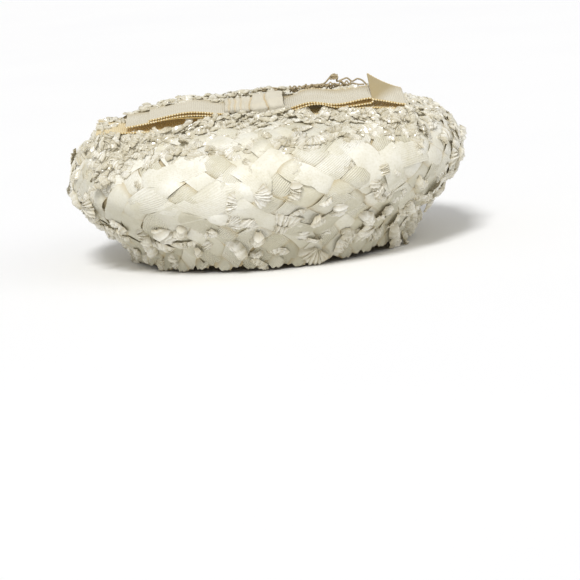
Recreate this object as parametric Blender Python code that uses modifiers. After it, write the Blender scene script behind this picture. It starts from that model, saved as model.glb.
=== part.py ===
# Pillbox hat of plaited straw ribbon with a flat grosgrain bow on its tip.
# Metres, +Z up, front towards -Y. The rim rests on z = 0 and the origin is the middle of the head opening.
import math

import bmesh
import bpy
from mathutils import Vector

# Crown: half sizes run left to right (width) and front to back (length).
RIM_HALF_WIDTH = 0.0730
RIM_HALF_LENGTH = 0.0780
BULGE_HALF_WIDTH = 0.1035
BULGE_HALF_LENGTH = 0.1100
CROWN_HEIGHT = 0.0805
BULGE_HEIGHT = 0.0460
BULGE_LEAN = 0.0030
FLARE_POWER = 2.15
TOP_SQUARENESS = 2.35
SEAM_HEIGHT = 0.0660
WALL = 0.0025

# Plait: each strip is a ribbon of straw, and puffs of crinkled straw stand in some of the meshes.
STRIPS_ROUND = 36
SIDE_ROWS = 11
TIP_CELL = 0.0115
PLAIT_RELIEF = 0.0017
PUFF_RELIEF = 0.0038
PUFF_SHOULDER = 0.30
PRESSED_RELIEF = 0.0007

# Bow: reaches run along the ribbon from the middle of the knot to each fold.
RIBBON_WIDTH = 0.036
RIBBON_THICKNESS = 0.0010
LAYER_GAP = 0.0003
BOW_CENTRE_X = -0.0032
BOW_CENTRE_Y = -0.0500
BOW_TILT = math.radians(6.0)
KNOT_HALF_LENGTH = 0.0150
KNOT_HALF_HEIGHT = 0.0031
KNOT_OVERHANG = 0.0010
KNOT_SQUARENESS = 2.7
LOOP_REACH_LEFT = 0.0537
LOOP_REACH_RIGHT = 0.0600
LOOP_FOLD = 0.0022
LOOP_ARCH = 0.0013
LOOP_LIFT = 0.0020
UNDERLOOP_REACH = 0.0657
UNDERLOOP_ARCH = 0.0022
UNDERTAIL_REACH = 0.0808
UNDERTAIL_DROOP = 0.0034
TAIL_REACH = 0.0768
TAIL_DROOP = 0.0030
TAIL_FOLD = 0.0046
FLAP_LENGTH = 0.0160
FLAP_RISE = 0.0056
FLAP_CORNER_RISE = 0.0024

SEAT_GAP = 0.0003
CUT_MARGIN = 0.0050

# One row for each pleat and crease of the knot.
# across: place from its left face (0) to its right face (1); fullness: share of its full section
KNOT_ROWS = (
    (0.00, 0.80),
    (0.07, 0.93),
    (0.20, 0.97),
    (0.38, 0.99),
    (0.47, 0.90),
    (0.56, 1.00),
    (0.70, 0.99),
    (0.77, 0.91),
    (0.84, 0.99),
    (0.95, 0.95),
    (1.00, 0.82),
)

STRAW = {"name": "cream_straw", "colour": (0.87, 0.83, 0.70), "roughness": 0.42}
TIP_STRAW = {"name": "cream_straw_tip", "colour": (0.86, 0.82, 0.69), "roughness": 0.45}
RIBBON = {"name": "grosgrain", "colour": (0.80, 0.73, 0.56), "roughness": 0.68}


def clear_scene():
    for thing in list(bpy.data.objects):
        bpy.data.objects.remove(thing, do_unlink=True)


def new_collection(name):
    collection = bpy.data.collections.new(name)
    bpy.context.scene.collection.children.link(collection)
    return collection


def material(look, name):
    made = bpy.data.materials.new(f"{look['name']}_{name}")
    made.use_nodes = True
    shader = made.node_tree.nodes["Principled BSDF"]
    shader.inputs["Base Color"].default_value = (*look["colour"], 1.0)
    shader.inputs["Roughness"].default_value = look["roughness"]
    shader.inputs["Metallic"].default_value = 0.0
    made.diffuse_color = (*look["colour"], 1.0)
    return made


def object_from(mesh_builder, name, collection, look=None):
    mesh = bpy.data.meshes.new(name)
    mesh_builder.to_mesh(mesh)
    mesh_builder.free()
    made = bpy.data.objects.new(name, mesh)
    collection.objects.link(made)
    if look:
        mesh.materials.append(material(look, name))
    return made


def make_cutter(made):
    made.hide_render = True
    made.display_type = "WIRE"


# The crown's outline. Its height runs from 0 at the rim to 1 at the bulge, and on to 2 at the top centre.
def bulge_height(angle):
    return BULGE_HEIGHT + BULGE_LEAN * math.cos(angle)


def crown_point(angle, level):
    low = bulge_height(angle)
    if level <= 1.0:
        flare = math.sin(max(level, 0.0) * math.pi / 2) ** FLARE_POWER
        half_width = RIM_HALF_WIDTH + (BULGE_HALF_WIDTH - RIM_HALF_WIDTH) * flare
        half_length = RIM_HALF_LENGTH + (BULGE_HALF_LENGTH - RIM_HALF_LENGTH) * flare
        height = low * level
    else:
        turn = (level - 1.0) * math.pi / 2
        reach = math.cos(turn) ** (2 / TOP_SQUARENESS)
        rise = math.sin(turn) ** (2 / TOP_SQUARENESS)
        half_width = BULGE_HALF_WIDTH * reach
        half_length = BULGE_HALF_LENGTH * reach
        height = low + (CROWN_HEIGHT - low) * rise
    return Vector((half_width * math.cos(angle), half_length * math.sin(angle), height))


def crown_normal(angle, level):
    step = 0.002
    around = crown_point(angle + step, level) - crown_point(angle - step, level)
    upward = crown_point(angle, min(level + step, 1.98)) - crown_point(angle, level - step)
    return around.cross(upward).normalized()


def level_at_height(angle, height):
    low, high = 0.0, 2.0
    for _ in range(40):
        middle = (low + high) / 2
        if crown_point(angle, middle).z < height:
            low = middle
        else:
            high = middle
    return (low + high) / 2


def levels_by_length(angle, top_level, rows):
    """Levels from the rim to top_level whose rows lie the same distance apart along the wall."""
    samples = 240
    points = [crown_point(angle, top_level * k / samples) for k in range(samples + 1)]
    lengths = [0.0]
    for before, after in zip(points, points[1:]):
        lengths.append(lengths[-1] + (after - before).length)
    levels = []
    k = 0
    for row in range(rows + 1):
        wanted = lengths[-1] * row / rows
        while k < samples and lengths[k + 1] < wanted:
            k += 1
        k = min(k, samples - 1)
        share = (wanted - lengths[k]) / (lengths[k + 1] - lengths[k])
        levels.append(top_level * (k + share) / samples)
    return levels


# The top of the crown as a height over the plan, for the tip and for what lies on it.
def tip_height(x, y):
    reach = math.hypot(x / BULGE_HALF_WIDTH, y / BULGE_HALF_LENGTH)
    angle = math.atan2(y / BULGE_HALF_LENGTH, x / BULGE_HALF_WIDTH)
    low = bulge_height(angle)
    if reach >= 1.0:
        return low - (reach - 1.0) * BULGE_HALF_WIDTH
    return low + (CROWN_HEIGHT - low) * (1.0 - reach**TOP_SQUARENESS) ** (1 / TOP_SQUARENESS)


def tip_normal(x, y):
    step = 0.0005
    slope_x = (tip_height(x + step, y) - tip_height(x - step, y)) / (2 * step)
    slope_y = (tip_height(x, y + step) - tip_height(x, y - step)) / (2 * step)
    return Vector((-slope_x, -slope_y, 1.0)).normalized()


def has_puff(column, row):
    return (column + row) % 4 == 0 and row % 2 == 0


def plait_relief(column, row, middle_of_mesh):
    """Height over the wall: none where strips cross under, more on a strip, most on a puff."""
    if middle_of_mesh:
        beside_puff = any(has_puff(column + i, row + j) for i in (0, 1) for j in (0, 1))
        return PLAIT_RELIEF / 2 + (PUFF_RELIEF * PUFF_SHOULDER if beside_puff else 0.0)
    if (column + row) % 2:
        return PLAIT_RELIEF
    return PUFF_RELIEF if has_puff(column, row) else 0.0


def under_bow(x, y):
    """The straw under the ribbon is pressed down and carries no puffs."""
    along = x - BOW_CENTRE_X
    return -UNDERTAIL_REACH < along < TAIL_REACH and abs(y - BOW_CENTRE_Y) < RIBBON_WIDTH / 2 + TIP_CELL / 2


def crown_side_solid(collection):
    """The side band: a drum of rows and columns that follow the plait, shaped to the crown's outline."""
    columns = 2 * STRIPS_ROUND
    builder = bmesh.new()
    bmesh.ops.create_cone(
        builder, cap_ends=True, cap_tris=False, segments=columns, radius1=1, radius2=1, depth=SIDE_ROWS
    )
    uprights = [e for e in builder.edges if abs(e.verts[0].co.z - e.verts[1].co.z) > 0.5]
    bmesh.ops.subdivide_edges(builder, edges=uprights, cuts=SIDE_ROWS - 1, use_grid_fill=True)
    walls = [f for f in builder.faces if abs(f.normal.z) < 0.5]
    bmesh.ops.poke(builder, faces=walls)
    top_levels = {}
    for vertex in builder.verts:
        x, y, z = vertex.co
        angle = math.atan2(y, x)
        column = angle / (2 * math.pi) * columns
        row = z + SIDE_ROWS / 2
        between = abs(row - round(row)) > 0.25
        key = round(column * 2)
        if key not in top_levels:
            seam_level = level_at_height(angle, SEAM_HEIGHT)
            top_levels[key] = levels_by_length(angle, seam_level, 2 * SIDE_ROWS)
        level = top_levels[key][round(row * 2)]
        relief = plait_relief(math.floor(column + 0.01), math.floor(row + 0.01), between)
        outward = crown_normal(angle, level)
        if round(row * 2) in (0, 2 * SIDE_ROWS):
            outward = Vector((outward.x, outward.y, 0.0)).normalized()
        vertex.co = crown_point(angle, level) + outward * relief
        if round(row * 2) == 0:
            vertex.co.z = 0.0
        elif round(row * 2) == 2 * SIDE_ROWS:
            vertex.co.z = SEAM_HEIGHT
    return object_from(builder, "crown_side", collection, STRAW)


def crown_tip_solid(collection):
    """The tip: a square plait on the bias, as a height over a grid, cut flat on its seam."""
    step = TIP_CELL / math.sqrt(2)
    columns = 2 * math.ceil(BULGE_HALF_WIDTH / step)
    rows = 2 * math.ceil(BULGE_HALF_LENGTH / step)
    builder = bmesh.new()
    bmesh.ops.create_grid(builder, x_segments=columns, y_segments=rows, size=1)
    bmesh.ops.poke(builder, faces=builder.faces[:])
    for vertex in builder.verts:
        column = (vertex.co.x + 1) / 2 * columns
        row = (vertex.co.y + 1) / 2 * rows
        between = abs(row - round(row)) > 0.25
        x = (column - columns / 2) * step
        y = (row - rows / 2) * step
        relief = plait_relief(math.floor(column + 0.01), math.floor(row + 0.01), between)
        if under_bow(x, y):
            relief = min(relief, PRESSED_RELIEF)
        vertex.co = Vector((x, y, tip_height(x, y) + relief))
    skin = builder.faces[:]
    grown = bmesh.ops.extrude_face_region(builder, geom=skin)
    for item in grown["geom"]:
        if isinstance(item, bmesh.types.BMVert):
            item.co.z = -CUT_MARGIN
    bmesh.ops.recalc_face_normals(builder, faces=builder.faces[:])
    seam = Vector((0.0, 0.0, SEAM_HEIGHT + SEAT_GAP))
    cut = bmesh.ops.bisect_plane(
        builder,
        geom=builder.verts[:] + builder.edges[:] + builder.faces[:],
        plane_co=seam,
        plane_no=(0.0, 0.0, 1.0),
        clear_inner=True,
    )
    rim = [item for item in cut["geom_cut"] if isinstance(item, bmesh.types.BMEdge)]
    bmesh.ops.holes_fill(builder, edges=rim, sides=0)
    bmesh.ops.recalc_face_normals(builder, faces=builder.faces[:])
    return object_from(builder, "crown_tip", collection, TIP_STRAW)


def head_hollow(collection):
    """The space for the head: the crown's outline moved in by the wall, and run on below the rim."""
    columns, rows = 48, 18
    builder = bmesh.new()
    bmesh.ops.create_uvsphere(builder, u_segments=columns, v_segments=rows + 2, radius=1)
    levels = levels_by_length(0.0, 1.93, rows)
    for vertex in builder.verts:
        x, y, z = vertex.co
        ring = round(math.asin(max(-1.0, min(1.0, z))) / math.pi * (rows + 2)) + (rows + 2) // 2
        angle = math.atan2(y, x)
        if ring == 0:
            vertex.co = Vector((0.0, 0.0, -CUT_MARGIN))
        elif ring == rows + 2:
            vertex.co = Vector((0.0, 0.0, CROWN_HEIGHT - WALL))
        else:
            level = levels[ring - 1]
            inner = crown_point(angle, level) - crown_normal(angle, level) * WALL
            if ring == 1:
                inner.z = -CUT_MARGIN
            vertex.co = inner
    bmesh.ops.recalc_face_normals(builder, faces=builder.faces[:])
    made = object_from(builder, "head_hollow", collection)
    make_cutter(made)
    return made


def cut_out(target, cutter):
    difference = target.modifiers.new("head_space", "BOOLEAN")
    difference.operation = "DIFFERENCE"
    difference.solver = "EXACT"
    difference.object = cutter


# The bow is modelled in its own frame: x along the ribbon, y across it, z off the straw.
def bow_origin():
    height = tip_height(BOW_CENTRE_X, BOW_CENTRE_Y) + PRESSED_RELIEF
    return Vector((BOW_CENTRE_X, BOW_CENTRE_Y, height))


def straw_under(x):
    """Highest straw across the ribbon at a place x along the bow, in the bow's frame."""
    origin = bow_origin()
    highest = -1.0
    for k in range(9):
        y = (RIBBON_WIDTH / 2 + KNOT_OVERHANG) * (k / 4 - 1)
        place_x = origin.x + x
        place_y = origin.y + y * math.cos(BOW_TILT)
        top = tip_height(place_x, place_y) + PRESSED_RELIEF / tip_normal(place_x, place_y).z
        highest = max(highest, (top - origin.z) / math.cos(BOW_TILT) - y * math.tan(BOW_TILT))
    return highest


def ribbon_bed(x):
    return straw_under(x) + SEAT_GAP + RIBBON_THICKNESS / 2


def stretched_out(side, reach, droop):
    """Height of a ribbon that leaves the knot on the straw and runs out stiffly over the shoulder."""
    start = ribbon_bed(side * KNOT_HALF_LENGTH)

    def height(x):
        return max(ribbon_bed(side * x), start - droop * (x / reach) ** 1.5)

    return height


def held_level(below, reach, arch):
    """Height of a stiff layer that leaves the knot on the one below it and runs out level over it."""
    closed = RIBBON_THICKNESS + LAYER_GAP
    start = below(KNOT_HALF_LENGTH) + closed

    def height(x):
        share = min(max((x - KNOT_HALF_LENGTH) / (reach - KNOT_HALF_LENGTH), 0.0), 1.0)
        return max(start + arch * math.sin(math.pi * share), below(x) + closed)

    return height


def layer_over(below, reach, arch):
    """Height of a layer that starts on the one below it and opens out to the width of its fold."""

    def height(x):
        share = min(max((x - KNOT_HALF_LENGTH) / (reach - KNOT_HALF_LENGTH), 0.0), 1.0)
        closed = RIBBON_THICKNESS + LAYER_GAP
        return below(x) + closed + (LOOP_FOLD - closed) * share + arch * math.sin(math.pi * share)

    return height


def ribbon_band(name, collection, parent, path, corner_rise=0.0):
    """A length of ribbon along path, rows of (x, z) in the bow's frame, with its thickness both ways."""
    across = 4
    builder = bmesh.new()
    bmesh.ops.create_grid(builder, x_segments=len(path) - 1, y_segments=across, size=1)
    for vertex in builder.verts:
        k = round((vertex.co.x + 1) / 2 * (len(path) - 1))
        side = vertex.co.y
        x, z = path[k]
        raised = corner_rise * (k / (len(path) - 1)) ** 6 * side
        vertex.co = Vector((x, side * RIBBON_WIDTH / 2, z + raised))
    made = object_from(builder, name, collection, RIBBON)
    made.parent = parent
    wall = made.modifiers.new("ribbon", "SOLIDIFY")
    wall.thickness = RIBBON_THICKNESS
    wall.offset = 0.0
    return made


def fold_round(centre_x, centre_z, radius, turns):
    """Points of a fold that turns a ribbon back over itself, from its lower layer to its upper one."""
    angles = [-math.pi / 2 + math.pi * k / turns for k in range(1, turns)]
    return [(centre_x + radius * math.cos(a), centre_z + radius * math.sin(a)) for a in angles]


def loop_path(side, reach, floor, roof):
    """Out from the knot along the lower layer, round the fold and back along the upper one.

    side is -1 for a loop to the left and 1 for one to the right.
    """
    steps, turns = 11, 6
    start = KNOT_HALF_LENGTH + SEAT_GAP
    radius = (roof(reach) - floor(reach)) / 2
    places = [start + (reach - radius - start) * k / steps for k in range(steps + 1)]
    path = [(x, floor(x)) for x in places]
    path += fold_round(places[-1], (floor(reach) + roof(reach)) / 2, radius, turns)
    path += [(x, roof(x)) for x in reversed(places)]
    return [(side * x, z) for x, z in path]


def forked_path(side, tail_reach, reach, floor, roof):
    """In from a cut end on the straw, round beside the knot and out again along the layer above."""
    steps, turns = 11, 6
    radius = (roof(KNOT_HALF_LENGTH) - floor(KNOT_HALF_LENGTH)) / 2
    start = KNOT_HALF_LENGTH + SEAT_GAP + RIBBON_THICKNESS / 2 + radius
    inward = [tail_reach - (tail_reach - start) * k / steps for k in range(steps + 1)]
    path = [(x, floor(x)) for x in inward]
    bend = fold_round(-start, (floor(start) + roof(start)) / 2, radius, turns)
    path += [(-x, z) for x, z in bend]
    places = [start + (reach - start) * k / steps for k in range(steps + 1)]
    path += [(x, roof(x)) for x in places]
    return [(side * x, z) for x, z in path]


def tail_path(floor):
    """Out from the knot along the straw, round the fold and back as a flap that lifts to its cut end."""
    steps, turns, flap_steps = 13, 8, 6
    start = KNOT_HALF_LENGTH + SEAT_GAP
    radius = TAIL_FOLD / 2
    flat_end = TAIL_REACH - radius
    places = [start + (flat_end - start) * k / steps for k in range(steps + 1)]
    path = [(x, floor(x)) for x in places]
    middle = floor(flat_end) + radius
    path += fold_round(flat_end, middle, radius, turns)
    for k in range(flap_steps + 1):
        share = k / flap_steps
        path.append((flat_end - FLAP_LENGTH * share, middle + radius + FLAP_RISE * share**1.2))
    return path


def bow_pieces(collection):
    frame = bpy.data.objects.new("bow_frame", None)
    frame.location = bow_origin()
    frame.rotation_euler = (BOW_TILT, 0.0, 0.0)
    collection.objects.link(frame)
    between_layers = RIBBON_THICKNESS + LAYER_GAP

    underloop_floor = stretched_out(-1, UNDERTAIL_REACH, UNDERTAIL_DROOP)
    underloop_roof = held_level(underloop_floor, UNDERLOOP_REACH, UNDERLOOP_ARCH)
    underloop = forked_path(-1, UNDERTAIL_REACH, UNDERLOOP_REACH, underloop_floor, underloop_roof)
    ribbon_band("bow_underloop_left", collection, frame, underloop)

    def left_floor(x):
        return underloop_roof(x) + between_layers

    left_roof = layer_over(left_floor, LOOP_REACH_LEFT, LOOP_ARCH)
    left_loop = loop_path(-1, LOOP_REACH_LEFT, left_floor, left_roof)
    ribbon_band("bow_loop_left", collection, frame, left_loop)

    tail_floor = stretched_out(1, TAIL_REACH, TAIL_DROOP)
    ribbon_band("bow_tail_right", collection, frame, tail_path(tail_floor), FLAP_CORNER_RISE)

    right_floor = layer_over(tail_floor, LOOP_REACH_RIGHT, LOOP_LIFT)
    right_roof = layer_over(right_floor, LOOP_REACH_RIGHT, LOOP_ARCH / 2)
    right_loop = loop_path(1, LOOP_REACH_RIGHT, right_floor, right_roof)
    ribbon_band("bow_loop_right", collection, frame, right_loop)

    knot_piece(collection, frame)


def knot_piece(collection, parent):
    """The wrap round the bow's middle: a flattened drum along the ribbon, creased between its pleats."""
    sides = 24
    builder = bmesh.new()
    bmesh.ops.create_cone(
        builder, cap_ends=True, cap_tris=False, segments=sides, radius1=1, radius2=1, depth=len(KNOT_ROWS) - 1
    )
    lengthwise = [e for e in builder.edges if abs(e.verts[0].co.z - e.verts[1].co.z) > 0.5]
    bmesh.ops.subdivide_edges(builder, edges=lengthwise, cuts=len(KNOT_ROWS) - 2, use_grid_fill=True)
    half_depth = RIBBON_WIDTH / 2 + KNOT_OVERHANG
    bed = straw_under(0.0) + SEAT_GAP
    for vertex in builder.verts:
        place, fullness = KNOT_ROWS[round(vertex.co.z + (len(KNOT_ROWS) - 1) / 2)]
        turn = math.atan2(vertex.co.y, vertex.co.x)
        power = KNOT_SQUARENESS
        squared = (abs(math.cos(turn)) ** power + abs(math.sin(turn)) ** power) ** (-1 / power)
        depth = half_depth * squared * math.cos(turn) * (0.5 + 0.5 * fullness)
        height = KNOT_HALF_HEIGHT * squared * math.sin(turn) * fullness
        vertex.co = Vector(
            (KNOT_HALF_LENGTH * (2 * place - 1), depth, bed + KNOT_HALF_HEIGHT + height)
        )
    made = object_from(builder, "bow_knot", collection, RIBBON)
    made.parent = parent
    made.data.shade_smooth()
    made.data.set_sharp_from_angle(angle=math.radians(50))


def main():
    clear_scene()
    hat = new_collection("pillbox_hat")
    cutters = new_collection("cutters")
    hollow = head_hollow(cutters)
    for piece in (crown_side_solid(hat), crown_tip_solid(hat)):
        cut_out(piece, hollow)
    bow_pieces(hat)


main()
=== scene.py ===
# Pillbox hat of plaited straw ribbon with crinkled puffs and a flat grosgrain bow, over its fixed frame.
# Metres, +Z up, the front of the hat towards -Y.
import math

import bpy
import numpy as np
from mathutils import Matrix, Quaternion, Vector


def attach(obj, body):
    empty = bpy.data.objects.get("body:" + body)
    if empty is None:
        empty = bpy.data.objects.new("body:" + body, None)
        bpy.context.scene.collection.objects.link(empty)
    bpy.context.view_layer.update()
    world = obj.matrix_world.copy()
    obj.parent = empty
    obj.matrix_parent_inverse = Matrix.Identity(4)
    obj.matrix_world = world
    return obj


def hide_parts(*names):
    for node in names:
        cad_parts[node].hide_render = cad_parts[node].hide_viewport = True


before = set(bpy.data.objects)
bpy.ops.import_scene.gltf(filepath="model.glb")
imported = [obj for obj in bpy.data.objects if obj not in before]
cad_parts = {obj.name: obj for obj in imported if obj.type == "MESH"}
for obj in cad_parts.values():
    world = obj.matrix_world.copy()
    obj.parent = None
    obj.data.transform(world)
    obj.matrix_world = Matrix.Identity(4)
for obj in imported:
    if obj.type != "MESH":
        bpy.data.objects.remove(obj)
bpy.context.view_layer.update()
rng = np.random.default_rng(20)
print("frame loaded")


# Camera

view = {
    "distance": 1.3,
    "elevation": 7.0,
    "hatCentre": (0.0, 0.0, 0.04),
    "lens": 150.8,
    "sensor": 36,
    "roll": -5.3,  # the hat sits tipped, right side up
    "aimRight": 0.55,
    "aimDown": 2.76,
}


def addCamera():
    lift = math.radians(view["elevation"])
    target = Vector(view["hatCentre"])
    place = target + view["distance"] * Vector((0, -math.cos(lift), math.sin(lift)))
    bpy.ops.object.camera_add(location=place)
    camera = bpy.context.object
    camera.name = "camera"
    camera.data.lens = view["lens"]
    camera.data.sensor_width = view["sensor"]
    turn = (target - place).to_track_quat("-Z", "Y")
    turn = turn @ Quaternion((0, 0, 1), math.radians(view["roll"]))
    turn = turn @ Quaternion((0, 1, 0), math.radians(-view["aimRight"]))
    turn = turn @ Quaternion((1, 0, 0), math.radians(-view["aimDown"]))
    camera.rotation_euler = turn.to_euler()
    bpy.context.scene.camera = camera


addCamera()


# Shader maths: a Wire is one output in a material's tree, and sums on wires add Math nodes.


class Wire:
    def __init__(self, tree, socket=None):
        self.tree = tree
        self.socket = socket

    def node(self, kind, settings=None, values=None, output=0):
        made = self.tree.nodes.new(kind)
        for name, value in (settings or {}).items():
            setattr(made, name, value)
        for name, value in (values or {}).items():
            if isinstance(value, Wire):
                self.tree.links.new(value.socket, made.inputs[name])
            else:
                made.inputs[name].default_value = value
        return Wire(self.tree, made.outputs[output])

    def maths(self, operation, first, second=0.0):
        return self.node("ShaderNodeMath", {"operation": operation}, {0: first, 1: second})

    def __add__(self, other):
        return self.maths("ADD", self, other)

    def __mul__(self, other):
        return self.maths("MULTIPLY", self, other)

    __radd__ = __add__
    __rmul__ = __mul__

    def sine(self):
        return self.maths("SINE", self)

    def mapped(self, low, high, to=(0.0, 1.0)):
        values = {"From Min": low, "From Max": high, "To Min": to[0], "To Max": to[1], "Value": self}
        return self.node("ShaderNodeMapRange", {"clamp": True}, values)

    def mixed(self, first, second):
        colours = [value if isinstance(value, Wire) else (*value, 1.0) for value in (first, second)]
        values = {0: self, 6: colours[0], 7: colours[1]}
        return self.node("ShaderNodeMix", {"data_type": "RGBA"}, values, 2)


def newMaterial(name, finish):
    made = bpy.data.materials.new(name)
    made.use_nodes = True
    shader = made.node_tree.nodes["Principled BSDF"]
    for socket, value in finish.items():
        shader.inputs[socket].default_value = value
    return made, shader, Wire(made.node_tree)


def plug(shader, socket, wire):
    wire.tree.links.new(wire.socket, shader.inputs[socket])


def plugBump(shader, height, strength, distance):
    values = {"Strength": strength, "Distance": distance, "Height": height}
    plug(shader, "Normal", height.node("ShaderNodeBump", None, values))


def uvParts(wire):
    uv = wire.node("ShaderNodeUVMap", {"uv_map": "UVMap"})
    along = wire.node("ShaderNodeSeparateXYZ", None, {0: uv})
    return along, Wire(wire.tree, along.socket.node.outputs[1])


def attribute(wire, name):
    return wire.node("ShaderNodeAttribute", {"attribute_name": name}, None, "Fac")


def noise(wire, scale, detail=2.0):
    place = wire.node("ShaderNodeTexCoord", None, None, "Object")
    return wire.node("ShaderNodeTexNoise", None, {"Vector": place, "Scale": scale, "Detail": detail})


# Straw ribbon: satin, with fine ribs along it, and painted shade, browner, where it dips under the other
# strips in the plait, along its edges and in creases.
# Its faint constant glow is the light that comes through the straw.

strawLook = {
    "finish": {
        "Roughness": 0.38,
        "Specular IOR Level": 0.45,
        "Emission Color": (0.8, 0.68, 0.43, 1.0),
        "Emission Strength": 0.022,
    },
    "pale": (0.89, 0.872, 0.79),
    "cream": (0.65, 0.61, 0.46),
    # the low colour is painted shade, mixed in where the depth attribute is high
    "low": (0.47, 0.36, 0.17),
    "paintedShadeBetween": (0.18, 0.95),
    "paintedShadeShare": 0.9,
    # darker towards the rim and low at the sides: painted shade, with some ageing
    "aged": (0.47, 0.445, 0.33),
    "shadeAndAgeShare": 0.85,
    "ribPitch": 0.00095,
    "ribbedBetween": (0.12, 0.75),
    "ribShade": 0.3,
    "cloudScale": 90.0,
    "streakScale": 900.0,
    "shares": {"tone": 0.6, "cloud": 0.4, "streak": 0.3},
    "gloss": (0.3, 0.5),
    "relief": {"flatRib": 0.15, "rib": 0.9, "streak": 0.4, "cloud": 4.0},
    "bump": (0.6, 0.00022),
}
# The puffs' straw glows faintly too: painted light, for the light that comes through the straw.
puffLook = {
    "finish": {
        "Roughness": 0.3,
        "Specular IOR Level": 0.6,
        "Emission Color": (0.8, 0.68, 0.43, 1.0),
        "Emission Strength": 0.034,
        "Coat Weight": 0.45,
        "Coat Roughness": 0.18,
    },
    "pale": (0.87, 0.855, 0.79),
    "cream": (0.65, 0.61, 0.49),
    # the low colour is painted shade in the puffs' fold valleys, along their sides and at their tucked ends
    "low": (0.5, 0.44, 0.29),
    "paintedShadeBetween": (0.15, 0.9),
    "paintedShadeShare": 0.85,
    # darker towards the rim and low at the sides: painted shade, with some ageing
    "aged": (0.6, 0.57, 0.46),
    "shadeAndAgeShare": 0.4,
    "crinkleScale": 500.0,
    "gloss": (0.18, 0.36),
    "bump": (0.35, 0.0002),
}


def strawColour(wire, look, shade):
    fresh = shade.mixed(look["pale"], look["cream"])
    # Darker towards the rim and low at the two sides: painted shade of the underside, with some ageing.
    shadedAndWorn = attribute(wire, "aged").mapped(0.0, 1.0, (0.0, look["shadeAndAgeShare"])).mixed(fresh, look["aged"])
    # Painted shade: the low colour goes where the depth attribute marks strips dipping under others, creases
    # and tucked ends.
    paintedShade = attribute(wire, "depth").mapped(*look["paintedShadeBetween"]) * look["paintedShadeShare"]
    return paintedShade.mixed(shadedAndWorn, look["low"])


def makeStraw():
    look, shares, heights = strawLook, strawLook["shares"], strawLook["relief"]
    made, shader, wire = newMaterial("strawRibbon", look["finish"])
    ribs = (uvParts(wire)[1] * (2 * math.pi / look["ribPitch"])).sine()
    cloud = noise(wire, look["cloudScale"], 3.0)
    streak = noise(wire, look["streakScale"])
    coarse = attribute(wire, "ribbed").mapped(*look["ribbedBetween"])
    shade = attribute(wire, "tone").mapped(0.0, 1.0) * shares["tone"]
    shade = shade + cloud.mapped(0.35, 0.7) * shares["cloud"]
    shade = shade + streak.mapped(0.45, 0.75) * shares["streak"]
    shade = shade + ribs.mapped(-1.0, 0.2, (look["ribShade"], 0.0)) * coarse
    plug(shader, "Base Color", strawColour(wire, look, shade))
    plug(shader, "Roughness", streak.mapped(0.3, 0.7, look["gloss"]))
    relief = ribs * (coarse * heights["rib"] + heights["flatRib"]) + streak * heights["streak"]
    plugBump(shader, relief + cloud * heights["cloud"], *look["bump"])
    return made


def makePuffStraw():
    made, shader, wire = newMaterial("crinkledStraw", puffLook["finish"])
    crinkle = noise(wire, puffLook["crinkleScale"], 3.0)
    plug(shader, "Base Color", strawColour(wire, puffLook, attribute(wire, "tone")))
    plug(shader, "Roughness", crinkle.mapped(0.3, 0.7, puffLook["gloss"]))
    plugBump(shader, crinkle, *puffLook["bump"])
    return made


# Plain threads and the foundation: two mottled colours over a fine bump.

threadLook = {
    "foundationStraw": {
        "roughness": 0.7, "mottle": (300.0, 3.0), "fuzz": 1500.0, "bump": (0.5, 0.0003),
        "light": (0.6, 0.49, 0.26), "dark": (0.74, 0.65, 0.42),
    },
    "picotThread": {
        "roughness": 0.45, "mottle": (1200.0, 2.0), "fuzz": 1200.0, "bump": (0.4, 0.0002),
        "light": (0.92, 0.84, 0.62), "dark": (0.76, 0.6, 0.3),
    },
    "veilThread": {
        "roughness": 0.5, "mottle": (2000.0, 2.0), "fuzz": 2000.0, "bump": (0.5, 0.0002),
        "light": (0.55, 0.45, 0.28), "dark": (0.33, 0.26, 0.15),
    },
}


def makeThread(name):
    look = threadLook[name]
    made, shader, wire = newMaterial(name, {"Roughness": look["roughness"]})
    mottle = noise(wire, *look["mottle"]).mapped(0.3, 0.7)
    plug(shader, "Base Color", mottle.mixed(look["light"], look["dark"]))
    plugBump(shader, noise(wire, look["fuzz"]), *look["bump"])
    return made


# Grosgrain: ribs across the ribbon, golden at the edges and on its back. Its back glows with light
# that comes through the ribbon.

ribbonLook = {
    "roughness": 0.55,
    "sheen": 0.15,
    "ribPitch": 0.00105,
    "threadPitch": 0.0005,
    "face": (0.81, 0.755, 0.61),
    "faceShade": (0.7, 0.62, 0.44),
    "back": (0.88, 0.75, 0.47),
    "backShade": (0.7, 0.52, 0.22),
    "glow": 0.055,
    "valleyShade": 0.35,
    "edge": (0.66, 0.46, 0.16),
    "edgeFrom": 0.93,
    # the turned colour is painted shade: tan over the raised flap and towards each ribbon's rear edge
    "turned": (0.45, 0.35, 0.165),
    "ribHeight": 0.8,
    "turnedRibHeight": 0.15,
    "bump": (0.8, 0.00018),
}


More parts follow.
